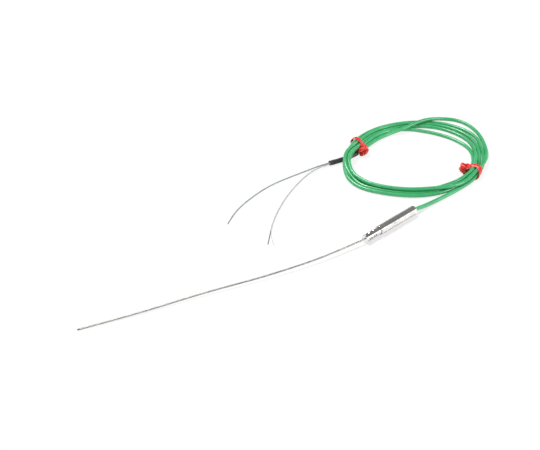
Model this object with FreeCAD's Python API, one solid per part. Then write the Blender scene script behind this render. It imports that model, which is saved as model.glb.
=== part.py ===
"""Thermocouple probe with a mineral-insulated sheath, a crimped pot and a tied coil of lead.

Millimetres, +Z up. +X runs along the axis of the pot, from the sheath towards the lead.
The origin is the middle of the pot's barrel, so the table is one barrel radius below it.
"""
import math
import os

import FreeCAD
import Part

# sheath: a thin closed tube packed with magnesia round two thermoelement wires
sheath_length = 176.8
sheath_radius = 0.5
sheath_wall = 0.17
sheath_tip_wall = 0.5
sheath_inner_end = -10.0
thermoelement_radius = 0.09
thermoelement_offset = 0.165
junction_radius = 0.29
junction_to_tip = 1.3

# pot: a stepped turned tube whose thinner nose is crimped on the sheath
barrel_radius = 3.0
barrel_length = 32.4
nose_radius = 2.4
nose_length = 12.6
cavity_radius = 2.55
cavity_front_wall = 1.8
rear_lip = 0.9
mouth_radius = 1.75
rear_rounding = 0.85
shoulder_rounding = 0.35
nose_rounding = 0.3
dent_ball_radius = 2.2
dent_depth = 0.45
dent_rows = (3.2, 7.0)
dents_per_row = 4
dent_tilt_deg = -8.0
resin_recess = 0.2

# splices inside the pot
splice_radius = 0.45
splice_front = -5.0
splice_length = 6.0
splice_web = 1.0
splice_spread = 1.1
splice_sleeve_wall = 0.2
splice_sleeve_lap = 2.0
fan_start = -8.6
fan_end = -6.2

# lead
cable_radius = 1.3
core_radius = 0.45
wire_radius = 0.3
core_offset = 0.5
core_bend_reach = 1.0
jacket_end_in_pot = 9.0
sleeve_radius = 1.6
sleeve_lead_in = 9.0
sleeve_overhang = 4.0
sleeve_bend_reach = 4.5
tail_straight = 9.5
positive_bare = 8.0
negative_bare = 13.0

# twist ties
strip_thickness = 0.6
strip_width = 3.2
knot_ring_radius = 2.5
knot_strip_radius = 1.4
tie_wire_radius = 0.3
tie_wire_length = 4.0
tie_wire_out = 1.3
tie_wire_turn_deg = 26.0
knot_height = 3.2
knot_lean_deg = 30.0
neck_radius = 0.95
neck_above_cable = 1.0
left_tie_skew_deg = -30.0
left_knot_in = 7.0
left_knot_along = 8.2
right_tie_skew_deg = 0.0
right_knot_in = 6.6
right_knot_along = -1.4

# heights: everything lies on the table
table = -barrel_radius
cable_lying = table + cable_radius
tail_lying = table + core_radius
sleeve_lying = table + sleeve_radius

# where the pot starts, steps and ends
barrel_rear = barrel_length / 2
shoulder = -barrel_length / 2
nose_front = shoulder - nose_length

# bends of the sheath in plan: the straight exit, then each run's share of the rest and its heading
sheath_exit = 1.7
sheath_exit_reach = 1.6
sheath_runs = ((0.182, 8.8), (0.201, 15.5), (0.195, 20.1), (0.215, 16.7), (0.207, 19.5))

# coil: an oval, with how far each turn lies outside the oval and how far it is lifted
coil_centre = (64.0, 41.5)
coil_half_length = 50.0
coil_half_width = 39.5
coil_step = 12
right_tie_angle = -72
left_tie_angle = 108
lead_join_angle = -82
section_corner_share = 0.42
turn_keys = (
    ((-88, 3.9, 0.0), (-72, 4.3, 0.6), (-54, 3.5, 0.2), (-30, 3.1, 0.0), (-20, 5.0, 0.0),
     (-6, 6.3, 0.0), (10, 5.6, 0.0), (20, 5.3, 0.0), (40, 4.4, 0.0), (60, 4.65, 0.0),
     (80, 5.1, 0.0), (96, 4.2, 0.6), (108, 3.9, 0.6), (120, 2.4, 3.4), (132, 2.0, 3.4),
     (144, 2.4, 3.4), (155, 2.9, 1.8), (165, 3.9, 0.8), (175, 4.1, 0.0), (185, 2.8, 0.0),
     (195, 0.9, 0.0), (205, 0.0, 0.0), (215, -0.4, 0.0), (235, 0.4, 0.0), (252, 0.9, 0.0),
     (262, 1.2, 0.0), (274, 1.4, 0.2), (288, 1.7, 0.6)),
    ((-72, 1.7, 0.6), (-54, 0.7, 0.3), (-38, 0.4, 0.0), (-20, 1.5, 0.0), (0, 1.9, 0.0),
     (20, 1.6, 0.0), (40, 1.5, 0.0), (60, 2.0, 0.0), (80, 2.5, 0.0), (96, 1.6, 0.6),
     (108, 1.25, 0.6), (120, 0.5, 4.8), (132, 2.0, 6.0), (144, 2.4, 6.0), (155, 2.4, 4.4),
     (165, 1.6, 2.0), (175, 1.5, 0.0), (185, 0.2, 0.0), (195, -1.7, 0.0), (205, -2.65, 0.0),
     (215, -3.05, 0.0), (235, -2.2, 0.0), (248, -1.7, 0.0), (258, -0.8, 1.1), (272, 0.3, 2.6),
     (288, 0.4, 2.85)),
    ((-72, 0.4, 2.85), (-56, -1.6, 2.3), (-46, -2.1, 1.2), (-36, -2.3, 0.1), (-20, -2.0, 0.0),
     (0, -2.5, 0.0), (10, -2.7, 0.0), (20, -2.0, 0.0), (40, -1.6, 0.0), (60, -0.6, 0.0),
     (80, -0.1, 0.0), (96, -1.05, 0.6), (108, -1.4, 0.6), (120, -1.5, 3.4), (132, -0.7, 3.4),
     (144, -0.2, 3.4), (155, -0.1, 1.8), (165, -0.7, 0.8), (175, -1.1, 0.0), (185, -2.4, 0.0),
     (195, -4.3, 0.0), (205, -5.3, 0.0), (215, -5.7, 0.0), (225, -5.4, 0.0), (235, -4.8, 0.0),
     (248, -4.3, 0.0), (258, -3.2, 0.0), (272, -1.7, 0.2), (288, -0.9, 0.6)),
    ((-72, -0.9, 0.6), (-56, -3.1, 0.0), (-42, -4.3, 0.0), (-30, -5.8, 0.0), (-20, -8.0, 0.0),
     (-10, -9.5, 0.0), (0, -10.4, 0.0), (10, -10.9, 0.0), (20, -10.8, 0.0), (30, -9.9, 0.0),
     (40, -9.1, 0.0), (50, -7.1, 0.0), (60, -4.8, 0.0), (70, -2.9, 0.0), (80, -2.75, 0.0),
     (96, -3.7, 0.6), (108, -4.05, 0.6), (120, -3.4, 4.8), (132, -0.9, 6.0), (144, -0.2, 6.0),
     (155, -0.1, 4.4), (165, -0.3, 3.4), (175, -2.0, 2.5), (185, -3.2, 2.5), (195, -3.6, 2.5),
     (205, -3.1, 2.55), (215, -1.9, 2.4), (235, -0.9, 2.4), (243, -0.3, 2.4), (252, 1.2, 2.65),
     (262, 2.9, 2.4), (272, 3.1, 2.5), (288, 3.0, 2.85)),
    ((-72, 3.0, 2.85), (-56, 4.5, 2.5), (-47, 5.2, 1.6), (-36, 5.65, 0.2), (-20, 7.75, 0.0),
     (-10, 10.4, 0.0), (0, 13.1, 0.0), (10, 15.4, 0.0), (18, 14.2, 0.0), (26, 9.3, 1.2),
     (31, 5.4, 2.5), (40, 0.6, 2.8), (50, -5.1, 2.8), (60, -7.4, 2.1), (70, -5.7, 0.8),
     (80, -5.4, 0.0), (96, -6.4, 0.6), (108, -6.7, 0.6)),
)

# bend points of the lead and of the two tails, beyond what the pieces themselves set
lead_bends = ((18.0, 0.0, 0.0), (27.0, -0.2, cable_lying), (42.0, -0.9, cable_lying),
              (57.0, -1.4, cable_lying))
end_bend = (31.0, 70.9, sleeve_lying)
sleeve_end = (16.0, 75.4, sleeve_lying)
positive_plan = ((-5.0, 80.3), (-30.0, 83.3), (-51.0, 80.3), (-66.0, 76.0), (-79.3, 68.4))
negative_plan = ((-3.0, 76.6), (-21.0, 70.9), (-38.0, 63.3), (-56.5, 51.9), (-74.0, 36.6))

bend_share = 0.45
shortest_run = 0.001
full_turn = 360
edge_reach = 0.01
slab_size = 40.0
axis_x = FreeCAD.Vector(1, 0, 0)
axis_z = FreeCAD.Vector(0, 0, 1)


def vec(point):
    return FreeCAD.Vector(*point)


def solid_of(shape):
    """The single solid of a boolean result."""
    shape = shape.removeSplitter()
    assert len(shape.Solids) == 1, "expected one solid, got %d" % len(shape.Solids)
    return shape.Solids[0]


def reaches_of(points):
    """How far along its runs each bend of a cord reaches."""
    runs = [points[i].distanceToPoint(points[i + 1]) for i in range(len(points) - 1)]
    return [bend_share * min(runs[i], runs[i + 1]) for i in range(len(runs) - 1)]


def bend(before, corner, after, reach):
    """Start, middle, end and radius of the arc that rounds one corner."""
    back = (before - corner).normalize()
    ahead = (after - corner).normalize()
    half_turn = (math.pi - back.getAngle(ahead)) / 2
    radius = reach / math.tan(half_turn)
    inward = (back + ahead).normalize()
    middle = corner + inward * (radius / math.cos(half_turn) - radius)
    return corner + back * reach, middle, corner + ahead * reach, radius


def route(points, reaches, label=None):
    """A wire of straight runs joined by tangent arcs."""
    edges = []
    radii = []
    here = points[0]
    for i, reach in enumerate(reaches):
        start, middle, end, radius = bend(points[i], points[i + 1], points[i + 2], reach)
        edges.append(Part.LineSegment(here, start).toShape())
        edges.append(Part.Arc(start, middle, end).toShape())
        radii.append(radius)
        here = end
    if here.distanceToPoint(points[-1]) > shortest_run:
        edges.append(Part.LineSegment(here, points[-1]).toShape())
    if label:
        print("%s: smallest bend radius %.1f mm" % (label, min(radii)))
    return Part.Wire(edges)


def sweep(wire, radius, shift=FreeCAD.Vector(0, 0, 0)):
    """A round bar along a wire, moved sideways by shift at its start."""
    first = wire.OrderedEdges[0]
    start = first.valueAt(first.FirstParameter)
    heading = first.tangentAt(first.FirstParameter)
    ring = Part.Wire([Part.Circle(start + shift, heading, radius).toShape()])
    return Part.Wire(wire.OrderedEdges).makePipeShell([ring], True, False)


def along_x(radius, start, end, y=0.0):
    return Part.makeCylinder(radius, end - start, FreeCAD.Vector(start, y, 0), axis_x)


def pulled_back(points, amount):
    """The same points with the last one drawn back along its run."""
    heading = (points[-1] - points[-2]).normalize()
    return points[:-1] + [points[-1] - heading * amount]


# sheath and what it holds
sheath_bore_radius = sheath_radius - sheath_wall
tip_drop = barrel_radius - sheath_radius
sheath_points = [FreeCAD.Vector(sheath_inner_end, 0, 0), FreeCAD.Vector(nose_front - sheath_exit, 0, 0)]
for share, heading_deg in sheath_runs:
    run = share * (sheath_length - sheath_exit)
    heading = math.radians(heading_deg)
    step = FreeCAD.Vector(-run * math.cos(heading), run * math.sin(heading), -share * tip_drop)
    sheath_points.append(sheath_points[-1] + step)
sheath_reaches = [sheath_exit_reach] + reaches_of(sheath_points)[1:]
round_end = pulled_back(sheath_points, sheath_radius)
bore_end = pulled_back(sheath_points, sheath_radius + sheath_tip_wall)
junction_at = pulled_back(sheath_points, junction_to_tip)
sheath_outside = sweep(route(round_end, sheath_reaches, "sheath"), sheath_radius)
sheath_outside = sheath_outside.fuse(Part.makeSphere(sheath_radius, round_end[-1]))
sheath_core = sweep(route(bore_end, sheath_reaches), sheath_bore_radius)
sheath_tube = solid_of(sheath_outside.cut(sheath_core))
sheath_filled = solid_of(sheath_outside)
hot_junction = Part.makeSphere(junction_radius, junction_at[-1])
junction_wire = route(junction_at, sheath_reaches)

# pot
nose = along_x(nose_radius, nose_front, shoulder)
nose = nose.makeFillet(nose_rounding, [e for e in nose.Edges if e.BoundBox.XMax < nose_front + edge_reach])
barrel = along_x(barrel_radius, shoulder, barrel_rear)
front_rim = [e for e in barrel.Edges if e.BoundBox.XMax < shoulder + edge_reach]
barrel = barrel.makeFillet(shoulder_rounding, front_rim)
rear_rim = [e for e in barrel.Edges if e.BoundBox.XMin > barrel_rear - edge_reach]
barrel = barrel.makeFillet(rear_rounding, rear_rim)
cavity_front = shoulder + cavity_front_wall
cavity_rear = barrel_rear - rear_lip
cavity = along_x(cavity_radius, cavity_front, cavity_rear)
mouth = along_x(mouth_radius, cavity_rear, barrel_rear)
pot_body = nose.fuse(barrel).cut(cavity.fuse(mouth)).cut(along_x(sheath_radius, nose_front, cavity_front))
for row in dent_rows:
    for k in range(dents_per_row):
        turn = math.radians(full_turn * k / dents_per_row + dent_tilt_deg)
        out = nose_radius - dent_depth + dent_ball_radius
        ball = FreeCAD.Vector(nose_front + row, out * math.cos(turn), out * math.sin(turn))
        pot_body = pot_body.cut(Part.makeSphere(dent_ball_radius, ball))
pot_body = solid_of(pot_body)

# lead cores, thermoelements and splices inside the pot, one set each side of the axis
splice_rear = splice_front + splice_length
web_front = splice_front + (splice_length - splice_web) / 2
web_rear = web_front + splice_web
inner = {}
for sign, side in (("positive", 1), ("negative", -1)):
    offset = FreeCAD.Vector(0, side * thermoelement_offset, 0)
    spread = side * splice_spread
    in_sheath = sweep(junction_wire, thermoelement_radius, offset)
    fan = [(sheath_inner_end, offset.y), (fan_start, offset.y), (fan_end, spread), (web_front, spread)]
    fan = [FreeCAD.Vector(x, y, 0) for x, y in fan]
    element = solid_of(in_sheath.fuse(sweep(route(fan, reaches_of(fan)), thermoelement_radius)))
    inner[sign + "_thermoelement"] = solid_of(element.cut(hot_junction))
    lap_end = splice_rear + splice_sleeve_lap
    core = [(web_rear, spread), (lap_end + core_bend_reach, spread),
            (jacket_end_in_pot - 2 * core_bend_reach, side * core_offset),
            (jacket_end_in_pot, side * core_offset)]
    core = [FreeCAD.Vector(x, y, 0) for x, y in core]
    core_reaches = (core_bend_reach, core_bend_reach)
    wire = sweep(route(core, core_reaches), wire_radius)
    clad = [FreeCAD.Vector(splice_rear, spread, 0)] + core[1:]
    inner[sign + "_core_wire"] = wire
    inner[sign + "_core"] = solid_of(sweep(route(clad, core_reaches), core_radius).cut(wire))
    ferrule = along_x(splice_radius, splice_front, splice_rear, spread)
    inner[sign + "_splice"] = solid_of(ferrule.cut(element).cut(wire))
    tube = along_x(splice_radius + splice_sleeve_wall, splice_front, lap_end, spread)
    tube_bore = along_x(splice_radius, splice_front, lap_end, spread)
    inner[sign + "_splice_sleeve"] = solid_of(tube.cut(tube_bore))

magnesia = sheath_core.cut(hot_junction)
for sign in ("positive", "negative"):
    magnesia = magnesia.cut(inner[sign + "_thermoelement"])
magnesia = solid_of(magnesia)


# coil: one closed body round all the turns, through sections a fixed step apart
def oval(angle):
    """Point of the oval in plan and its outward direction."""
    c = math.cos(math.radians(angle))
    s = math.sin(math.radians(angle))
    point = FreeCAD.Vector(coil_centre[0] + coil_half_length * c, coil_centre[1] + coil_half_width * s, 0)
    outward = FreeCAD.Vector(c / coil_half_length, s / coil_half_width, 0).normalize()
    return point, outward


def turn_at(keys, angle):
    """Offset and lift of one turn at an angle, or None where the turn isn't there."""
    for (a, off_a, lift_a), (b, off_b, lift_b) in zip(keys, keys[1:]):
        if a <= angle <= b:
            share = (angle - a) / (b - a)
            return off_a + (off_b - off_a) * share, lift_a + (lift_b - lift_a) * share
    return None


def strands_at(angle):
    """Offset and lift of every turn that passes an angle."""
    found = []
    for keys in turn_keys:
        for round_trip in (-full_turn, 0, full_turn):
            here = turn_at(keys, angle + round_trip)
            if here:
                found.append(here)
    return found


def section(angle, grow=0.0):
    """Rounded outline round all the turns that pass an angle."""
    strands = strands_at(angle)
    point, outward = oval(angle)
    low_off = min(off for off, lift in strands) - cable_radius - grow
    high_off = max(off for off, lift in strands) + cable_radius + grow
    low = min(lift for off, lift in strands) + table - grow
    high = max(lift for off, lift in strands) + table + 2 * cable_radius + grow
    r = section_corner_share * min(high - low, high_off - low_off)
    near = r * (1 - math.sqrt(0.5))

    def at(off, z):
        return point + outward * off + axis_z * z

    straight = Part.LineSegment
    edges = [
        straight(at(low_off + r, low), at(high_off - r, low)),
        Part.Arc(at(high_off - r, low), at(high_off - near, low + near), at(high_off, low + r)),
        straight(at(high_off, low + r), at(high_off, high - r)),
        Part.Arc(at(high_off, high - r), at(high_off - near, high - near), at(high_off - r, high)),
        straight(at(high_off - r, high), at(low_off + r, high)),
        Part.Arc(at(low_off + r, high), at(low_off + near, high - near), at(low_off, high - r)),
        straight(at(low_off, high - r), at(low_off, low + r)),
        Part.Arc(at(low_off, low + r), at(low_off + near, low + near), at(low_off + r, low)),
    ]
    return Part.Wire([edge.toShape() for edge in edges])


steps = range(right_tie_angle, right_tie_angle + full_turn, coil_step)
rings = [section(angle) for angle in steps]
cable_coil = Part.makeLoft(rings, True, True, True)
if cable_coil.Volume < 0:
    cable_coil.reverse()
cable_coil = cable_coil.Solids[0]


def strand_point(keys, angle):
    off, lift = turn_at(keys, angle)
    point, outward = oval(angle)
    return point + outward * off + axis_z * (cable_lying + lift)


# lead from the pot to the coil, and from the coil to the heat-shrink
lead_points = [FreeCAD.Vector(jacket_end_in_pot, 0, 0)] + [vec(p) for p in lead_bends]
lead_points.append(strand_point(turn_keys[0], lead_join_angle))
lead = sweep(route(lead_points, reaches_of(lead_points), "lead"), cable_radius)
lead_cable = max(lead.cut(cable_coil).Solids, key=lambda s: s.Volume)

left_tie_point = strand_point(turn_keys[-1], left_tie_angle)
corner = vec(end_bend)
end_heading = (vec(sleeve_end) - corner).normalize()
end_reach = [sleeve_bend_reach]
jacket_end = vec(sleeve_end) - end_heading * sleeve_overhang
end_points = [left_tie_point, corner, jacket_end]
cable_end_full = sweep(route(end_points, end_reach, "cable end"), cable_radius)
sleeve_start = corner + (left_tie_point - corner).normalize() * sleeve_lead_in
sleeve_points = [sleeve_start, corner, vec(sleeve_end)]
heat_shrink = sweep(route(sleeve_points, end_reach, "heat-shrink"), sleeve_radius)
heat_shrink = heat_shrink.cut(sweep(route(sleeve_points, end_reach), cable_radius))
heat_shrink = solid_of(heat_shrink)

# tails: an insulated core each, bare at the end
tails = {}
across = axis_z.cross(end_heading)
for sign, side, plan_points, bare in (("positive", -1, positive_plan, positive_bare),
                                      ("negative", 1, negative_plan, negative_bare)):
    start = jacket_end + across * (side * core_offset)
    points = [start, start + end_heading * tail_straight]
    points += [FreeCAD.Vector(x, y, tail_lying) for x, y in plan_points]
    reaches = reaches_of(points)
    reaches[-1] = points[-1].distanceToPoint(points[-2]) - bare
    wire = sweep(route(points, reaches, sign + " tail"), wire_radius)
    clad = sweep(route(pulled_back(points, bare), reaches), core_radius)
    tails[sign + "_tail_wire"] = wire
    tails[sign + "_tail"] = solid_of(clad.cut(wire))


# twist ties: a strip round the coil, its ends curled into a knot on the inner side
def twist_tie(angle, skew_deg, knot_in, knot_along):
    """Strip and knot of one tie, and the end of the wire in it."""
    strands = strands_at(angle)
    point, outward = oval(angle)
    ahead = axis_z.cross(outward)
    middle = (min(off for off, lift in strands) + max(off for off, lift in strands)) / 2
    bundle = point + outward * middle
    near = [section(a, strip_thickness) for a in (angle - coil_step, angle, angle + coil_step)]
    sleeve = Part.makeLoft(near, True, True)
    slab_corner = FreeCAD.Vector(-strip_width / 2, -slab_size / 2, table)
    slab = Part.makeBox(strip_width, slab_size, slab_size, slab_corner)
    facing = math.degrees(math.atan2(ahead.y, ahead.x)) + skew_deg
    slab.Placement = FreeCAD.Placement(bundle, FreeCAD.Rotation(axis_z, facing))
    strip = sleeve.common(slab)
    knot_at = bundle - outward * knot_in + ahead * knot_along + axis_z * (table + knot_height)
    lean = math.radians(knot_lean_deg)
    knot_axis = outward * math.sin(lean) + axis_z * math.cos(lean)
    knot = Part.makeTorus(knot_ring_radius, knot_strip_radius, knot_at, knot_axis)
    knot = knot.fuse(Part.makeSphere(knot_strip_radius, knot_at))
    neck_from = bundle - outward * (middle - min(off for off, lift in strands) + cable_radius)
    neck_from = neck_from + axis_z * (cable_lying + neck_above_cable)
    reach = knot_at - neck_from
    knot = knot.fuse(Part.makeCylinder(neck_radius, reach.Length, neck_from, reach))
    wire_turn = math.radians(tie_wire_turn_deg)
    wire_way = ahead * math.cos(wire_turn) - outward * math.sin(wire_turn)
    rim = knot_ring_radius + knot_strip_radius
    wire_from = knot_at + wire_way * (rim + tie_wire_out - tie_wire_length)
    tie_wire = Part.makeCylinder(tie_wire_radius, tie_wire_length, wire_from, wire_way)
    tie = strip.fuse(knot).cut(cable_coil).cut(cable_end_full).cut(heat_shrink).cut(lead).cut(tie_wire)
    body = max(tie.removeSplitter().Solids, key=lambda s: s.Volume)
    return body, tie_wire


left_tie, left_wire = twist_tie(left_tie_angle, left_tie_skew_deg, left_knot_in, left_knot_along)
right_tie, right_wire = twist_tie(right_tie_angle, right_tie_skew_deg, right_knot_in, right_knot_along)
cable_end = max(cable_end_full.cut(cable_coil).Solids, key=lambda s: s.Volume)

# resin fills the pot round everything in it
resin_end = barrel_rear - resin_recess
resin = cavity.fuse(along_x(mouth_radius, cavity_rear, resin_end)).cut(sheath_filled).cut(lead)
for name in sorted(inner):
    resin = resin.cut(inner[name])
resin = max(resin.removeSplitter().Solids, key=lambda s: s.Volume)

nodes = {
    "sheath_tube": sheath_tube,
    "magnesia_filling": magnesia,
    "hot_junction": hot_junction,
    "pot_body": pot_body,
    "potting_resin": resin,
    "lead_cable": lead_cable,
    "cable_coil": cable_coil,
    "cable_end": cable_end,
    "heat_shrink": heat_shrink,
    "left_tie": left_tie,
    "left_tie_wire": left_wire,
    "right_tie": right_tie,
    "right_tie_wire": right_wire,
}
nodes.update(inner)
nodes.update(tails)

os.makedirs("parts", exist_ok=True)
for name in sorted(nodes):
    shape = nodes[name]
    assert shape.isValid(), name
    shape.exportStep("parts/%s.step" % name)
    box = shape.BoundBox
    print("%s: %.2f mm3, z %.2f to %.2f" % (name, shape.Volume, box.ZMin, box.ZMax))
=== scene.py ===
import math

import bmesh
import bpy
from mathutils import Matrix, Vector


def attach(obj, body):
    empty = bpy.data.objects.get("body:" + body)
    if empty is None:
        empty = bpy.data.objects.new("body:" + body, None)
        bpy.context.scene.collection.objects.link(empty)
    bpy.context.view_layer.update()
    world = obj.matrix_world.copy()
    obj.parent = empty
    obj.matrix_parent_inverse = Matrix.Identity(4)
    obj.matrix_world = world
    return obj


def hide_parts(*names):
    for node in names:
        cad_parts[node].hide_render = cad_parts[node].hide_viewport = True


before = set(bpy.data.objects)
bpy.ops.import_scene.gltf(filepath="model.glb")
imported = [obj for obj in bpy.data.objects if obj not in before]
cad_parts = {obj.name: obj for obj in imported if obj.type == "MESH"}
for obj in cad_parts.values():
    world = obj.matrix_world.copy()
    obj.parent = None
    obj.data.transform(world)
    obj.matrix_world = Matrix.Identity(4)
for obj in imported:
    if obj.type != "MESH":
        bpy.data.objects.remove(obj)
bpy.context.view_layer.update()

# lengths are in millimetres in the part's own frame, unless a comment says metres
mm = 0.001
table = -3.0
up = Vector((0, 0, 1))
scene = bpy.context.scene
scene.view_settings.view_transform = "Standard"


def new_piece(name, data):
    """A new object in the scene."""
    piece = bpy.data.objects.new(name, data)
    scene.collection.objects.link(piece)
    return piece


def set_up(piece, place, aim):
    """Puts a camera or a lamp at a place and turns it to an aim, both in metres."""
    piece.location = place
    piece.rotation_mode = "QUATERNION"
    piece.rotation_quaternion = (aim - place).to_track_quat("-Z", "Y")


# camera at the photograph's viewing angle
camera_at = Vector((-341.22, -268.14, 317.76))
camera_aim = Vector((-59.57, 51.01, table))
camera_data = bpy.data.cameras.new("camera")
camera_data.sensor_width = 36.0
camera_data.lens = 57.4
camera_data.clip_start = 10 * mm
camera_data.clip_end = 20000 * mm
camera = new_piece("camera", camera_data)
set_up(camera, camera_at * mm, camera_aim * mm)
scene.camera = camera


# node trees
class Nodes:
    """The nodes of a material or world, emptied first, with short calls to add and join them."""

    def __init__(self, owner):
        owner.use_nodes = True
        self.tree = owner.node_tree
        self.tree.nodes.clear()

    def add(self, kind, *in_order, settings=None, **by_name):
        """A node whose inputs take sockets or values, in their order or by their names."""
        node = self.tree.nodes.new("ShaderNode" + kind)
        for name, value in (settings or {}).items():
            setattr(node, name, value)
        for socket, value in zip(node.inputs, in_order):
            self.join(value, socket)
        for name, value in by_name.items():
            wanted = name.replace("_", " ")
            self.join(value, next(found for found in node.inputs if found.name == wanted and found.enabled))
        return node

    def join(self, value, socket):
        """Links a socket to another, or sets it to a value."""
        if isinstance(value, bpy.types.NodeSocket):
            self.tree.links.new(value, socket)
        else:
            socket.default_value = value


def srgb(red, green, blue):
    """A colour as read from a picture, 0 to 255, as the linear colour that nodes take."""
    linear = []
    for value in (red, green, blue):
        share = value / 255
        linear.append(share / 12.92 if share <= 0.04045 else ((share + 0.055) / 1.055) ** 2.4)
    return (*linear, 1.0)


def grey(level):
    """A grey of this linear level."""
    return (level, level, level, 1.0)


white = grey(1.0)


def noise(nodes, place, size, detail=2.0, stretch=(1, 1, 1)):
    """Noise whose spots are about size millimetres across."""
    if stretch != (1, 1, 1):
        place = nodes.add("Mapping", Vector=place, Scale=stretch).outputs["Vector"]
    return nodes.add("TexNoise", Vector=place, Scale=1 / size, Detail=detail).outputs["Fac"]


def ramp(nodes, share, stops):
    """Colours by share, from a list of (share, colour)."""
    node = nodes.add("ValToRGB", Fac=share)
    stones = node.color_ramp.elements
    while len(stones) < len(stops):
        stones.new(0.5)
    for stone, (position, colour) in zip(stones, stops):
        stone.position = position
        stone.color = colour
    return node.outputs["Color"]


def two_tone(nodes, share, dark, light):
    """From a dark to a light colour over the middle of a noise."""
    return ramp(nodes, share, [(0.3, dark), (0.7, light)])


def mixed(nodes, share, below, above, blend="MIX"):
    """One colour laid over another by a share."""
    kind = {"data_type": "RGBA", "blend_type": blend}
    node = nodes.add("Mix", settings=kind, Factor=share, A=below, B=above)
    return next(output for output in node.outputs if output.enabled)


def span(nodes, share, low, high, start=0.25, end=0.75):
    """A number from low to high as share goes from start to end."""
    node = nodes.add("MapRange", Value=share, From_Min=start, From_Max=end, To_Min=low, To_Max=high)
    return node.outputs["Result"]


def number(nodes, operation, *values):
    """Result of one sum on numbers or sockets."""
    return nodes.add("Math", *values, settings={"operation": operation}).outputs[0]


def distance_of(nodes, first, second):
    """How far two ways at right angles lead together."""
    squares = [number(nodes, "MULTIPLY", value, value) for value in (first, second)]
    return number(nodes, "SQRT", number(nodes, "ADD", *squares))


def bump(nodes, height, distance, strength=1.0, before=None):
    """A surface with bumps up to a distance in millimetres, over an earlier surface where one is given."""
    node = nodes.add("Bump", Height=height, Distance=distance * mm, Strength=strength)
    if before is not None:
        nodes.join(before, node.inputs["Normal"])
    return node.outputs["Normal"]


# materials, by slot, and how noise is stretched into streaks along X or bands round it
materials = {}
lengthways = (0.06, 1, 1)
scratched = (0.25, 1, 1)
banded = (1, 0.04, 0.04)


def new_material(slot):
    """The empty tree of a slot's new material, and its place coordinate in millimetres."""
    materials[slot] = bpy.data.materials.new(slot)
    nodes = Nodes(materials[slot])
    place = nodes.add("TexCoord").outputs["Object"]
    place = nodes.add("Mapping", Vector=place, Scale=(1 / mm, 1 / mm, 1 / mm)).outputs["Vector"]
    return nodes, place


def finish_material(nodes, **sockets):
    """Ends a material's tree in one shader with these sockets."""
    shader = nodes.add("BsdfPrincipled", **sockets)
    nodes.add("OutputMaterial", Surface=shader.outputs["BSDF"])


def moulded(slot, light, dark, spots, rough, grain, depth):
    """Plastic, resin or ceramic: spots of two near colours, uneven gloss and a fine grain."""
    nodes, place = new_material(slot)
    colour = two_tone(nodes, noise(nodes, place, spots, 3.0), dark, light)
    surface = bump(nodes, noise(nodes, place, grain, 4.0), depth)
    gloss = span(nodes, noise(nodes, place, spots * 0.6), *rough)
    finish_material(nodes, Base_Color=colour, Roughness=gloss, Normal=surface)


burnt_colour = srgb(70, 66, 62)
burnt_share = 0.85
burnt_fade = 1.5


def drawn_metal(slot, light, dark, rough, grain, depth, stretch=(1, 1, 1), burnt_x=None):
    """Drawn wire, tube or ferrule: streaked by its stretch, uneven in gloss, burnt before burnt_x."""
    nodes, place = new_material(slot)
    streak = noise(nodes, place, grain * 4, 3.0, stretch)
    colour = two_tone(nodes, streak, dark, light)
    if burnt_x is not None:
        along = nodes.add("SeparateXYZ", Vector=place).outputs["X"]
        burnt = span(nodes, along, burnt_share, 0.0, burnt_x - burnt_fade, burnt_x)
        colour = mixed(nodes, burnt, colour, burnt_colour)
    surface = bump(nodes, noise(nodes, place, grain, 4.0, stretch), depth)
    gloss = span(nodes, streak, *rough)
    finish_material(nodes, Base_Color=colour, Roughness=gloss, Normal=surface, Metallic=1.0)


# where the pot's step and crimp dents are, and the painted shade laid in the step's corner and round the
# dents' rims
nose_radius = 2.4
step_x = -16.2
step_shade_x = step_x - 0.12
step_shade_fade = (0.1, 0.42)
step_shade_radii = (nose_radius + 0.2, nose_radius + 0.4)
dent_rows = (-25.6, -21.8)
dents_in_row = 4
dent_turn = math.radians(-8)
dent_reach = 1.3
dent_narrowing = 1.3
dent_middle_shade = 0.25
painted_shade_colour = srgb(52, 49, 46)
painted_shade_share = 0.75
painted_shade_dulling = 0.25


def pot_painted_shade(nodes, place):
    """How much painted shade the pot gets: most in the corner of the step and towards the rims of the dents.
    """
    part = nodes.add("SeparateXYZ", Vector=place).outputs
    from_step = number(nodes, "ABSOLUTE", number(nodes, "SUBTRACT", part["X"], step_shade_x))
    by_step = span(nodes, from_step, 1.0, 0.0, *step_shade_fade)
    in_corner = span(nodes, distance_of(nodes, part["Y"], part["Z"]), 1.0, 0.0, *step_shade_radii)
    in_step = number(nodes, "MULTIPLY", by_step, in_corner)
    half_pitch = math.pi / dents_in_row
    turn = number(nodes, "SUBTRACT", number(nodes, "ARCTAN2", part["Z"], part["Y"]), dent_turn)
    turn = number(nodes, "WRAP", turn, half_pitch, -half_pitch)
    round_way = number(nodes, "MULTIPLY", turn, nose_radius * dent_narrowing)
    from_middle = number(nodes, "ABSOLUTE", number(nodes, "SUBTRACT", part["X"], sum(dent_rows) / 2))
    long_way = number(nodes, "SUBTRACT", from_middle, (dent_rows[1] - dent_rows[0]) / 2)
    from_dent = distance_of(nodes, round_way, long_way)
    to_rim = span(nodes, from_dent, dent_middle_shade, 1.0, 0.3, dent_reach - 0.1)
    past_rim = span(nodes, from_dent, 1.0, 0.0, dent_reach, dent_reach + 0.2)
    in_dent = number(nodes, "MULTIPLY", to_rim, past_rim)
    return number(nodes, "MULTIPLY", number(nodes, "MAXIMUM", in_step, in_dent), painted_shade_share)


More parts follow.
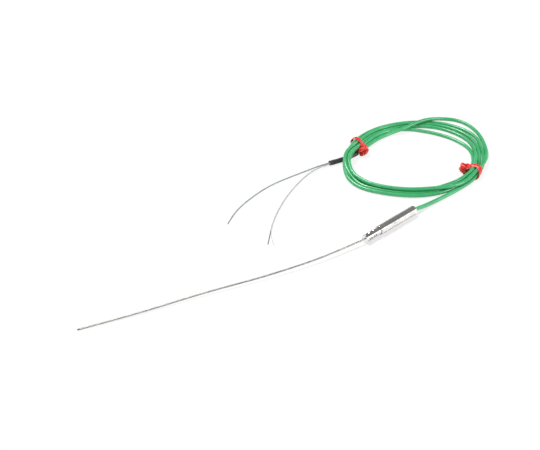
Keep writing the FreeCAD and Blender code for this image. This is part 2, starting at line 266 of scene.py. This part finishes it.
def turned_steel(slot):
    """Polished turned steel: fine tool rings and bands round X, faint handling marks, and painted shade in
    the step and dents.
    """
    nodes, place = new_material(slot)
    rings = nodes.add("TexWave", settings={"wave_type": "BANDS", "bands_direction": "X"}, Vector=place,
                      Scale=0.9, Distortion=0.6, Detail=2.0, Detail_Scale=0.3).outputs["Fac"]
    handled = noise(nodes, place, 5.0, 4.0)
    colour = two_tone(nodes, handled, srgb(226, 224, 220), srgb(242, 240, 237))
    bands = ramp(nodes, noise(nodes, place, 0.7, 2.0, banded), [(0.35, grey(0.88)), (0.6, white)])
    colour = mixed(nodes, 1.0, colour, bands, "MULTIPLY")
    # painted shade: the colour darkens in the step's corner and round the dents' rims, and the roughness
    # rises there
    painted_shade = pot_painted_shade(nodes, place)
    colour = mixed(nodes, painted_shade, colour, painted_shade_colour)
    surface = bump(nodes, rings, 0.008, 0.5)
    surface = bump(nodes, noise(nodes, place, 0.5, 3.0, scratched), 0.006, 0.6, surface)
    gloss = number(nodes, "MULTIPLY_ADD", painted_shade, painted_shade_dulling, span(nodes, handled, 0.08, 0.18))
    finish_material(nodes, Base_Color=colour, Roughness=gloss, Normal=surface, Metallic=1.0)


def cable_jacket(slot):
    """Extruded green jacket: slow colour drift, a fine grain on a soft ripple, and uneven gloss."""
    nodes, place = new_material(slot)
    colour = two_tone(nodes, noise(nodes, place, 14.0, 3.0), srgb(38, 160, 94), srgb(62, 176, 112))
    surface = bump(nodes, noise(nodes, place, 0.35, 4.0), 0.004, 0.6)
    surface = bump(nodes, noise(nodes, place, 3.0), 0.03, 0.5, surface)
    gloss = span(nodes, noise(nodes, place, 2.2, 3.0), 0.26, 0.38)
    finish_material(nodes, Base_Color=colour, Roughness=gloss, Normal=surface, Specular_IOR_Level=0.9)


def coated_strip(slot):
    """Red coated twist tie: worn in paler and darker patches, with fine creases and a soft gloss."""
    nodes, place = new_material(slot)
    patches = noise(nodes, place, 1.6, 4.0)
    reds = [(0.28, srgb(186, 30, 26)), (0.5, srgb(222, 52, 44)), (0.78, srgb(236, 84, 72))]
    surface = bump(nodes, noise(nodes, place, 0.5, 3.0), 0.08, 0.6)
    gloss = span(nodes, patches, 0.26, 0.44)
    finish_material(nodes, Base_Color=ramp(nodes, patches, reds), Roughness=gloss, Normal=surface)


# finish of each slot, and the slot of each node that stays as it is
drawn_metal("sheath_steel", srgb(182, 180, 176), srgb(144, 142, 139), rough=(0.36, 0.5), grain=0.16,
            depth=0.008, stretch=lengthways, burnt_x=-196.4)
turned_steel("pot_steel")
moulded("magnesia", srgb(236, 233, 226), srgb(214, 210, 202), spots=0.4, rough=(0.8, 0.95), grain=0.08,
        depth=0.02)
drawn_metal("element_alloy", srgb(186, 178, 166), srgb(140, 132, 122), rough=(0.3, 0.45), grain=0.1,
            depth=0.004, stretch=lengthways)
moulded("resin", srgb(58, 54, 50), srgb(38, 36, 34), spots=0.8, rough=(0.2, 0.4), grain=0.2, depth=0.02)
drawn_metal("ferrule_metal", srgb(206, 202, 194), srgb(160, 156, 148), rough=(0.25, 0.4), grain=0.2,
            depth=0.006, stretch=lengthways)
moulded("splice_sleeving", srgb(228, 222, 208), srgb(206, 198, 182), spots=0.7, rough=(0.45, 0.6),
        grain=0.1, depth=0.02)
moulded("tail_green", srgb(152, 161, 154), srgb(134, 145, 138), spots=3.0, rough=(0.3, 0.45), grain=0.2,
        depth=0.01)
moulded("tail_white", srgb(188, 186, 190), srgb(170, 168, 173), spots=3.0, rough=(0.3, 0.45), grain=0.2,
        depth=0.01)
drawn_metal("lead_alloy", srgb(150, 145, 138), srgb(104, 100, 95), rough=(0.28, 0.45), grain=0.1,
            depth=0.004)
cable_jacket("jacket_green")
moulded("sleeve_black", srgb(66, 61, 63), srgb(46, 43, 45), spots=1.5, rough=(0.42, 0.6), grain=0.22,
        depth=0.03)
coated_strip("tie_red")
drawn_metal("tie_steel", srgb(120, 116, 112), srgb(80, 77, 74), rough=(0.35, 0.5), grain=0.1, depth=0.005)
core_slots = {"positive": "tail_green", "negative": "tail_white"}
node_slots = {
    "sheath_tube": "sheath_steel",
    "magnesia_filling": "magnesia",
    "hot_junction": "element_alloy",
    "pot_body": "pot_steel",
    "potting_resin": "resin",
}
for sign, core_slot in core_slots.items():
    node_slots[sign + "_thermoelement"] = "element_alloy"
    node_slots[sign + "_splice"] = "ferrule_metal"
    node_slots[sign + "_splice_sleeve"] = "splice_sleeving"
    node_slots[sign + "_core"] = core_slot
    node_slots[sign + "_core_wire"] = "lead_alloy"


def dress(piece, slot):
    """Gives a piece the material of a slot and no other."""
    piece.data.materials.clear()
    piece.data.materials.append(materials[slot])


for node, slot in node_slots.items():
    dress(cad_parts[node], slot)


def place_piece(piece, slot, *nodes):
    """Puts a new piece on the part in the finish of a slot, in the place of CAD nodes."""
    dress(piece, slot)
    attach(piece, "root")
    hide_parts(*nodes)


# curves, and lines read from them
def nurbs(name, points, radius=0.0):
    """A round bar on one open spline with these control points."""
    data = bpy.data.curves.new(name, "CURVE")
    data.dimensions = "3D"
    data.resolution_u = 8
    spline = data.splines.new("NURBS")
    spline.points.add(len(points) - 1)
    for control, point in zip(spline.points, points):
        control.co = (point[0] * mm, point[1] * mm, point[2] * mm, 1.0)
    spline.order_u = 3
    spline.use_endpoint_u = True
    data.bevel_depth = radius * mm
    data.bevel_resolution = 6
    data.use_fill_caps = True
    return new_piece(name, data)


def line_of(points, spacing):
    """Points a fixed way apart along the spline with these control points, in millimetres."""
    piece = nurbs("line", points)
    mesh = bpy.data.meshes.new_from_object(piece)
    line = [vertex.co / mm for vertex in mesh.vertices]
    bpy.data.meshes.remove(mesh)
    bpy.data.curves.remove(piece.data)
    gone = [0.0]
    for a, b in zip(line, line[1:]):
        gone.append(gone[-1] + (b - a).length)
    count = max(2, round(gone[-1] / spacing))
    even = []
    i = 0
    for k in range(count + 1):
        want = gone[-1] * k / count
        while i < len(line) - 2 and gone[i + 1] < want:
            i += 1
        share = (want - gone[i]) / (gone[i + 1] - gone[i])
        even.append(line[i].lerp(line[i + 1], share))
    return even


def headings(line):
    """Unit tangent at each point of a line."""
    found = []
    for i in range(len(line)):
        before = line[max(i - 1, 0)]
        after = line[min(i + 1, len(line) - 1)]
        found.append((after - before).normalized())
    return found


def square_to(heading, way):
    """The direction square to a heading that is nearest to a way."""
    return (way - heading * way.dot(heading)).normalized()


def swung(first, second, turn):
    """The direction that is turned from the first towards the second."""
    return first * math.cos(turn) + second * math.sin(turn)


def carried(line, first):
    """A direction square to the line at each point, carried along it without twist."""
    found = []
    way = first
    for heading in headings(line):
        way = square_to(heading, way)
        found.append(way)
    return found


# meshes made of rings of points
def circle(radius, count, flat=1.0):
    """Ring of points, flattened in its second direction by flat."""
    turns = [2 * math.pi * i / count for i in range(count)]
    return [(radius * math.cos(turn), radius * flat * math.sin(turn)) for turn in turns]


def rings_at(line, ways, rings):
    """One ring of (across, out) points set square to a line at each of its points."""
    levels = []
    for point, heading, way, ring in zip(line, headings(line), ways, rings):
        side = heading.cross(way)
        levels.append([point + side * x + way * y for x, y in ring])
    return levels


def mesh_piece(name, made):
    """The piece of a mesh that is ready."""
    mesh = bpy.data.meshes.new(name)
    made.to_mesh(mesh)
    made.free()
    return new_piece(name, mesh)


def skin(name, levels, hollow=False):
    """A smooth mesh through rings of points: capped, or led back from the last to the first if hollow."""
    made = bmesh.new()
    levels = [[made.verts.new(point * mm) for point in level] for level in levels]
    following = levels[1:] + levels[:1] if hollow else levels[1:]
    for low, high in zip(levels, following):
        count = len(low)
        for i in range(count):
            j = (i + 1) % count
            made.faces.new((low[i], low[j], high[j], high[i]))
    if not hollow:
        made.faces.new(levels[0][::-1])
        made.faces.new(levels[-1])
    bmesh.ops.recalc_face_normals(made, faces=made.faces)
    for face in made.faces:
        face.smooth = True
    return mesh_piece(name, made)


def joined(name, pieces):
    """Several new meshes as one."""
    made = bmesh.new()
    for piece in pieces:
        made.from_mesh(piece.data)
        bpy.data.meshes.remove(piece.data)
    return mesh_piece(name, made)


# coil: each turn by keys of (degrees round the oval, way outside it, lift off the table)
cable_radius = 1.3
cable_lying = table + cable_radius
coil_centre = (64.0, 41.5)
coil_half = (50.0, 39.5)
lead_join_angle = -82
angle_step = 8
turn_keys = (
    ((-88, 5.0, 0.0), (-72, 4.3, 0.6), (-54, 3.5, 0.2), (-30, 3.1, 0.0), (-20, 5.0, 0.0),
     (-6, 6.3, 0.0), (10, 5.6, 0.0), (20, 5.3, 0.0), (40, 4.4, 0.0), (60, 4.65, 0.0),
     (80, 5.1, 0.0), (96, 4.2, 0.6), (108, 3.9, 0.6), (120, 1.4, 3.4), (132, 1.8, 3.4),
     (144, 2.9, 3.4), (155, 3.8, 1.8), (165, 4.5, 0.8), (175, 3.8, 0.0), (185, 2.6, 0.0),
     (195, 0.7, 0.0), (205, 0.0, 0.0), (215, -0.1, 0.0), (225, 0.5, 0.0), (235, 1.25, 0.0),
     (243, 1.9, 0.0), (252, 2.2, 0.0), (262, 2.2, 0.0), (274, 2.0, 0.2), (288, 1.7, 0.6)),
    ((-72, 1.7, 0.6), (-54, 0.7, 0.3), (-38, 0.4, 0.0), (-20, 1.5, 0.0), (0, 1.9, 0.0),
     (20, 1.6, 0.0), (40, 1.5, 0.0), (60, 2.0, 0.9), (80, 2.5, 1.3), (96, 1.6, 1.3),
     (108, 1.25, 0.6), (120, -0.4, 4.8), (132, 1.8, 6.0), (144, 2.8, 6.0), (155, 3.2, 4.4),
     (165, 2.0, 1.4), (175, 1.2, 0.0), (185, 0.0, 0.0), (195, -1.95, 0.0), (205, -2.65, 0.0),
     (215, -2.75, 0.0), (225, -2.15, 0.0), (235, -1.4, 0.0), (243, -0.75, 0.0), (250, -0.6, 0.3),
     (258, -0.4, 1.2), (272, 0.35, 2.5), (288, 0.4, 2.85)),
    ((-72, 0.4, 2.85), (-56, -1.6, 2.3), (-46, -2.1, 1.2), (-36, -2.3, 0.1), (-20, -2.0, 0.0),
     (0, -2.5, 0.0), (10, -2.7, 0.0), (20, -2.0, 0.0), (40, -1.6, 0.0), (60, -0.6, 0.0),
     (80, -0.1, 0.0), (96, -1.05, 0.6), (108, -1.4, 0.6), (120, -2.5, 3.4), (132, -1.0, 3.4),
     (144, 0.2, 3.4), (155, 1.0, 1.8), (165, -0.6, 0.8), (175, -1.45, 0.0), (185, -2.65, 0.0),
     (195, -4.6, 0.0), (205, -5.3, 0.0), (215, -5.4, 0.0), (225, -4.8, 0.0), (235, -4.05, 0.0),
     (243, -3.45, 0.0), (248, -3.4, 0.0), (258, -3.1, 0.0), (272, -1.7, 0.2), (288, -0.9, 0.6)),
    ((-72, -0.9, 0.6), (-56, -3.1, 0.0), (-42, -4.3, 0.0), (-30, -5.8, 0.0), (-20, -8.0, 0.0),
     (-10, -9.5, 0.0), (0, -10.4, 0.0), (10, -10.9, 0.0), (20, -10.8, 0.0), (30, -9.9, 0.0),
     (40, -8.5, 0.0), (50, -6.0, 0.0), (60, -3.7, 0.0), (70, -2.9, 0.6), (80, -2.75, 1.1),
     (96, -3.7, 1.3), (108, -4.05, 0.6), (120, -4.3, 4.8), (132, -1.0, 6.0), (144, 0.2, 6.0),
     (155, 0.6, 4.4), (165, 0.8, 3.3), (175, -1.1, 2.55), (185, -1.9, 2.45), (195, -3.3, 2.25),
     (205, -3.95, 2.25), (215, -4.05, 2.25), (225, -3.45, 2.25), (235, -2.7, 2.25), (241, -1.9, 2.35),
     (247, -0.4, 2.6), (253, 1.3, 2.75), (262, 3.3, 2.4), (272, 3.5, 2.4), (288, 3.0, 2.85)),
    ((-72, 3.0, 2.85), (-56, 4.5, 2.5), (-47, 5.2, 1.6), (-36, 5.65, 0.2), (-20, 7.75, 0.0),
     (-10, 10.4, 0.0), (0, 13.1, 0.0), (10, 15.4, 0.0), (18, 14.2, 0.0), (26, 9.3, 1.2),
     (31, 6.0, 2.5), (40, 1.9, 2.8), (50, -2.9, 2.8), (60, -6.2, 2.2), (70, -5.7, 0.8),
     (80, -5.4, 0.0), (96, -6.4, 0.6), (108, -6.7, 0.6)),
)


def oval(angle):
    """Point of the coil's oval in plan and its outward direction."""
    cosine = math.cos(math.radians(angle))
    sine = math.sin(math.radians(angle))
    point = Vector((coil_centre[0] + coil_half[0] * cosine, coil_centre[1] + coil_half[1] * sine, 0))
    outward = Vector((cosine / coil_half[0], sine / coil_half[1], 0)).normalized()
    return point, outward


def strand_point(keys, angle):
    """Middle of one turn at an angle between its keys."""
    point, outward = oval(angle)
    for (a, off_a, lift_a), (b, off_b, lift_b) in zip(keys, keys[1:]):
        if a <= angle <= b:
            share = (angle - a) / (b - a)
            off = off_a + (off_b - off_a) * share
            lift = lift_a + (lift_b - lift_a) * share
            return point + outward * off + up * (cable_lying + lift)


# lead: from the pot into the coil, round it, and out to the heat-shrink
sleeve_lying = table + 1.6
coil_exit = Vector((30.6, 70.4, sleeve_lying))
jacket_end = Vector((19.45, 73.75, sleeve_lying))
sleeve_end = Vector((15.6, 74.9, sleeve_lying))
from_pot = ((9, 0, 0), (18, 0, 0), (27, -0.3, cable_lying), (42, -1.7, cable_lying), (57, -2.5, cable_lying))
lead_points = [Vector(point) for point in from_pot]
for turn, keys in enumerate(turn_keys):
    first_angle = keys[0][0] + angle_step if turn else lead_join_angle
    for angle in range(first_angle, keys[-1][0] + 1, angle_step):
        lead_points.append(strand_point(keys, angle))
lead_points += [coil_exit, jacket_end]
lead = nurbs("lead", lead_points, cable_radius)
place_piece(lead, "jacket_green", "lead_cable", "cable_coil", "cable_end")

# heat-shrink: shrunk on the jacket's end, drawn in past it round the two tails
sleeve_length = 20.4
sleeve_radius = 1.69
sleeve_wall = 0.26
sleeve_lift = 0.12
sleeve_spacing = 0.5
sleeve_sides = 28
rim_rise = 0.06
past_steps = 8
past_draw = 0.05
past_flattening = 0.04
on_jacket = line_of(lead_points, sleeve_spacing)[-int(sleeve_length / sleeve_spacing):]
past_jacket = [jacket_end.lerp(sleeve_end, k / past_steps) for k in range(1, past_steps + 1)]
sleeve_line = [point + up * sleeve_lift for point in on_jacket + past_jacket]
outside = []
inside = []
for i in range(len(sleeve_line)):
    along = i / (len(sleeve_line) - 1)
    past = max(0.0, (i - len(on_jacket)) / past_steps)
    # slow waves along the sleeve, and a rim that flares at each end
    uneven = 0.03 * math.sin(along * 23) + 0.02 * math.sin(along * 51 + 1)
    rim = rim_rise * (math.exp(-((along * 40) ** 2)) + math.exp(-(((1 - along) * 30) ** 2)))
    radius = sleeve_radius - past_draw * past ** 2 + uneven
    flat = 1 - past_flattening * past
    outside.append(circle(radius + rim, sleeve_sides, flat))
    inside.append(circle(radius - sleeve_wall, sleeve_sides, flat))
sleeve_ways = carried(sleeve_line, up)
outer_levels = rings_at(sleeve_line, sleeve_ways, outside)
inner_levels = rings_at(sleeve_line, sleeve_ways, inside)
sleeve = skin("shrunk_sleeve", outer_levels + inner_levels[::-1], hollow=True)
place_piece(sleeve, "sleeve_black", "heat_shrink")

# tails: two insulated cores out of the heat-shrink, with stranded bare ends
tail_radius = 0.45
tail_lying = table + tail_radius
tail_off_middle = 0.5
tail_straight = 9.5
tail_shapes = {
    "positive": {
        "side": -1,
        "bare": 8.0,
        "plan": ((-5.0, 80.3), (-30.0, 83.3), (-51.0, 80.3), (-66.0, 76.0), (-79.3, 68.4)),
    },
    "negative": {
        "side": 1,
        "bare": 13.0,
        "plan": ((-3.0, 76.6), (-21.0, 70.9), (-38.0, 63.3), (-56.5, 51.9), (-74.0, 36.6)),
        "stray": ((-2.0, 0.0, 0.0), (1.5, 0.3, 0.0), (5.0, 1.2, 0.0), (9.0, 2.2, -0.1), (13.0, 3.9, -0.2)),
    },
}
strands_round = 6
strand_radius = 0.1
strand_off_middle = 0.2
strand_pitch = 7.0
strand_spacing = 0.25
strand_covered = 4.0
strand_rise = 0.05
strand_sides = 8
stray_radius = 0.07
stray_spacing = 0.4


def strand_bar(line, radius):
    """A thin round bar along a line."""
    return skin("strand", rings_at(line, carried(line, up), [circle(radius, strand_sides)] * len(line)))


def bare_strands(line):
    """Strands twisted round a middle one along a line, cut to unequal lengths."""
    pieces = []
    for k in range(strands_round + 1):
        out = strand_off_middle if k < strands_round else 0.0
        strand = []
        for i, (point, heading, way) in enumerate(zip(line, headings(line), carried(line, up))):
            turn = 2 * math.pi * (k / strands_round + i * strand_spacing / strand_pitch)
            strand.append(point + swung(heading.cross(way), way, turn) * out)
        cut_off = 1 + (k * 3) % 4
        pieces.append(strand_bar(strand[:-cut_off], strand_radius))
    return pieces


def tail(sign, side, bare, plan, stray=()):
    """One tail's insulated core, and its bare strands, with a stray one by (ahead, aside, height) points."""
    end_heading = (sleeve_end - jacket_end).normalized()
    start = jacket_end + up.cross(end_heading) * (side * tail_off_middle)
    points = [start, start + end_heading * tail_straight]
    points += [Vector((x, y, tail_lying)) for x, y in plan]
    tip = points[-1]
    ahead = (tip - points[-2]).normalized()
    bare_from = tip - ahead * bare
    points[-1] = bare_from
    core = nurbs(sign + "_tail_core", points, tail_radius)
    place_piece(core, core_slots[sign], sign + "_tail")
    half_way = bare_from.lerp(tip, 0.5) + up * strand_rise
    bare_points = [bare_from - ahead * strand_covered, bare_from, half_way, tip]
    pieces = bare_strands(line_of(bare_points, strand_spacing))
    if stray:
        aside = up.cross(ahead)
        stray_points = [bare_from + ahead * x + aside * y + up * z for x, y, z in stray]
        pieces.append(strand_bar(line_of(stray_points, stray_spacing), stray_radius))
    strands = joined(sign + "_bare_strands", pieces)
    place_piece(strands, "lead_alloy", sign + "_tail_wire")
    return core, strands


tails = {}
strands_of = {}
for sign, shape in tail_shapes.items():
    tails[sign], strands_of[sign] = tail(sign, **shape)

# twist ties: a coated strip round the bundle, whose ends are twisted together and curled up
strip_half = [(-1.6, 0.0), (-1.5, 0.17), (-1.0, 0.24), (-0.5, 0.37), (0.0, 0.44), (0.5, 0.37), (1.0, 0.24),
              (1.5, 0.17)]
strip_ring = strip_half + [(1.6, 0.0)] + [(x, -y) for x, y in strip_half[:0:-1]]
band_spacing = 0.35
lean_way = 2.0
lean_past = 1.5
under_height = -1.9
under_fade = 0.6
under_share = 0.62
knot_spacing = 0.3
knot_pitch = 6.4
knot_apart = 0.8
loop_steps = 16
loop_turn = math.radians(42)
loop_end_reach = 1.2
loop_bulge = 1.35
loop_rise = 0.28
core_route = ((-2.6, 0.0), (-0.8, 0.3), (0.8, -0.3), (2.6, 0.0))
tie_wire_radius = 0.28


def clamped(value, low, high):
    """A value held between two limits."""
    return min(max(value, low), high)


def along_axes(axes, place):
    """A place given as (outward, ahead, height), as one vector."""
    return axes[0] * place[0] + axes[1] * place[1] + axes[2] * place[2]


def tie_band(origin, axes, route, bundle, lean):
    """Strip round a bundle, which is (inner side, outer side, height of its middle), thinner underneath."""
    outward, ahead, _ = axes
    inner, outer, middle = bundle
    line = line_of([origin + along_axes(axes, place) for place in route], band_spacing)
    ways = []
    rings = []
    for here, heading in zip(line, headings(line)):
        off = (here - origin).dot(outward)
        along = (here - origin).dot(ahead)
        nearest = origin + along_axes(axes, (clamped(off, inner, outer), along, middle))
        past = clamped((inner - off) / lean_past, 0.0, 1.0)
        leaning = lean * clamped(along / lean_way + 1, 0.0, 1.0) * (1 + 2 * past)
        ways.append(square_to(heading, here - nearest - ahead * leaning))
        under = clamped((under_height - here.z) / under_fade, 0.0, 1.0)
        thick = 1.0 + (under_share - 1.0) * under
        rings.append([(x, y * thick) for x, y in strip_ring])
    return skin("band", rings_at(line, ways, rings))


def twisted_pair(route, first):
    """Two strips twisted round each other on a route: its line, and the way that each lies off it."""
    line = line_of(route, knot_spacing)
    ways = carried(line, first)
    for start in (0.0, math.pi):
        faces = []
        for i, (heading, way) in enumerate(zip(headings(line), ways)):
            turn = start + 2 * math.pi * i * knot_spacing / knot_pitch
            faces.append(swung(way, heading.cross(way), turn))
        yield line, faces


def tie_knot(origin, axes, place, axis, size, first_turn):
    """A twisted pair that is curled up round an axis, and a straight one through its middle."""
    centre = origin + along_axes(axes, place)
    axis = along_axes(axes, axis).normalized()
    first = square_to(axis, axes[0])
    second = axis.cross(first)
    loop = []
    for k in range(loop_steps + 1):
        reach = (loop_end_reach + loop_bulge * math.sin(math.pi * k / loop_steps)) * size
        rise = (k - loop_steps / 2) * loop_rise * size
        loop.append(centre + swung(first, second, first_turn + loop_turn * k) * reach + axis * rise)
    core = [centre + axis * (along * size) + first * aside for along, aside in core_route]
    pieces = []
    for route, start in ((loop, axis), (core, first)):
        for line, faces in twisted_pair(route, start):
            strand = [here + face * (knot_apart * size) for here, face in zip(line, faces)]
            pieces.append(skin("knot", rings_at(strand, faces, [strip_ring] * len(strand))))
    return pieces


def tie(node, angle, route, bundle, lean, knot, wire_route):
    """One tie at an angle of the coil: strip and knot in one piece, and a bare wire end."""
    origin, outward = oval(angle)
    axes = (outward, up.cross(outward), up)
    pieces = [tie_band(origin, axes, route, bundle, lean)] + tie_knot(origin, axes, **knot)
    strip = joined(node + "_strip", pieces)
    for vertex in strip.data.vertices:
        vertex.co.z = max(vertex.co.z, table * mm)
    place_piece(strip, "tie_red", node)
    wire_points = [origin + along_axes(axes, place) for place in wire_route]
    wire = nurbs(node + "_bare_wire", wire_points, tie_wire_radius)
    place_piece(wire, "tie_steel", node + "_wire")
    return strip, wire


left_tie, left_wire = tie(
    "left_tie", 108,
    route=((-8.6, 7.4, -0.4), (-9.4, 6.2, -1.8), (-8.4, 4.4, -2.62), (-4.0, 2.4, -2.7), (1.0, 0.8, -2.7),
           (4.6, -0.2, -2.62), (6.0, -0.9, -2.0), (6.2, -1.8, -1.0), (5.8, -2.8, 0.3), (4.3, -3.5, 0.66),
           (1.2, -2.3, 0.7), (-2.7, 0.7, 1.2), (-4.6, 3.0, 2.1), (-6.0, 5.4, 2.4), (-7.2, 7.6, 2.0)),
    bundle=(-6.7, 3.9, -1.1), lean=1.2,
    knot={"place": (-7.8, 8.65, 1.0), "axis": (0.45, -0.1, 0.9), "size": 1.2, "first_turn": 0.4},
    wire_route=((-10.0, 10.2, 0.6), (-11.0, 11.6, 0.6), (-12.0, 13.2, 0.3)))
right_tie, right_wire = tie(
    "right_tie", -72,
    route=((-5.4, -1.4, -0.4), (-5.2, -2.4, -2.0), (-3.4, -3.4, -2.62), (0.6, -4.6, -2.7),
           (4.2, -5.0, -2.66), (6.0, -4.3, -2.0), (6.3, -2.4, -0.6), (5.7, -0.2, 1.4), (4.4, 1.7, 2.7),
           (1.8, 2.7, 2.95), (-0.9, 2.3, 2.6), (-2.9, 0.9, 2.0), (-4.4, -0.6, 1.6)),
    bundle=(-0.5, 3.6, 0.2), lean=0.6,
    knot={"place": (-5.0, -1.4, 1.0), "axis": (0.45, 0.2, 0.9), "size": 1.06, "first_turn": 2.2},
    wire_route=((-6.8, 0.6, 0.6), (-7.8, 2.2, 0.6), (-8.6, 3.8, 0.3)))

# floor, in metres: matte card that keeps the shadow, mixed with plain white by what sees it and where
floor_half = 3.0
floor_height = table * mm
pot_middle = (-0.012, 0.0, floor_height)
white_by_pot = grey(0.55)
white_by_part = grey(0.84)
white_in_mirror = 0.08
floor_mesh = bpy.data.meshes.new("floor")
corners = [(x * floor_half, y * floor_half, floor_height) for x, y in ((-1, -1), (1, -1), (1, 1), (-1, 1))]
floor_mesh.from_pydata(corners, [], [(0, 1, 2, 3)])
floor = new_piece("floor", floor_mesh)
floor_material = bpy.data.materials.new("floor_white")
card = Nodes(floor_material)
rays = card.add("LightPath").outputs
spot = card.add("TexCoord").outputs["Object"]
from_middle = card.add("VectorMath", spot, pot_middle, settings={"operation": "DISTANCE"}).outputs["Value"]
whiter = ramp(card, from_middle, [(0.02, white_by_pot), (0.06, white_by_part), (0.25, white_by_part),
                                  (0.5, white)])
seen = number(card, "MULTIPLY", rays["Is Camera Ray"], whiter)
mirrored = number(card, "MAXIMUM", rays["Is Glossy Ray"], rays["Is Transmission Ray"])
white_share = number(card, "MULTIPLY_ADD", mirrored, white_in_mirror, seen)
matte = card.add("BsdfDiffuse", Color=grey(0.9)).outputs[0]
glow = card.add("Emission", Color=white, Strength=1.0).outputs[0]
card.add("OutputMaterial", Surface=card.add("MixShader", white_share, matte, glow).outputs[0])
floor_mesh.materials.append(floor_material)

# world: a pale room with a darker ceiling and a half-bright back, white where the camera sees it
ceiling_lean = 0.5
back_drop = -1.2
back_level = 0.55
world = bpy.data.worlds.new("studio")
scene.world = world
sky = Nodes(world)
way = sky.add("SeparateXYZ", Vector=sky.add("TexCoord").outputs["Generated"]).outputs
climb = number(sky, "MULTIPLY_ADD", way["Y"], ceiling_lean, way["Z"])
room = ramp(sky, climb, [(0.0, white), (0.28, grey(0.95)), (0.42, grey(0.2)), (1.0, grey(0.26))])
behind = span(sky, number(sky, "MULTIPLY_ADD", way["Z"], back_drop, way["Y"]), 0.0, back_level, 0.0, 0.6)
room = number(sky, "MAXIMUM", room, behind)
lit = sky.add("Background", Color=room, Strength=1.0).outputs[0]
plain = sky.add("Background", Color=white, Strength=1.0).outputs[0]
to_camera = sky.add("LightPath").outputs["Is Camera Ray"]
sky.add("OutputWorld", Surface=sky.add("MixShader", to_camera, lit, plain).outputs[0])

# lamps, in metres and watts
lamp_aim = Vector((0.0, 0.03, 0.0))


def soft_light(name, place, size, power):
    """A round soft lamp turned to the part."""
    data = bpy.data.lights.new(name, "AREA")
    data.shape = "DISK"
    data.size = size
    data.energy = power
    set_up(new_piece(name, data), Vector(place), lamp_aim)


soft_light("key", (-0.07, 0.7, 1.33), size=0.65, power=21.5)
soft_light("front", (0.55, -0.95, 0.45), size=0.3, power=4.5)

bpy.context.view_layer.update()
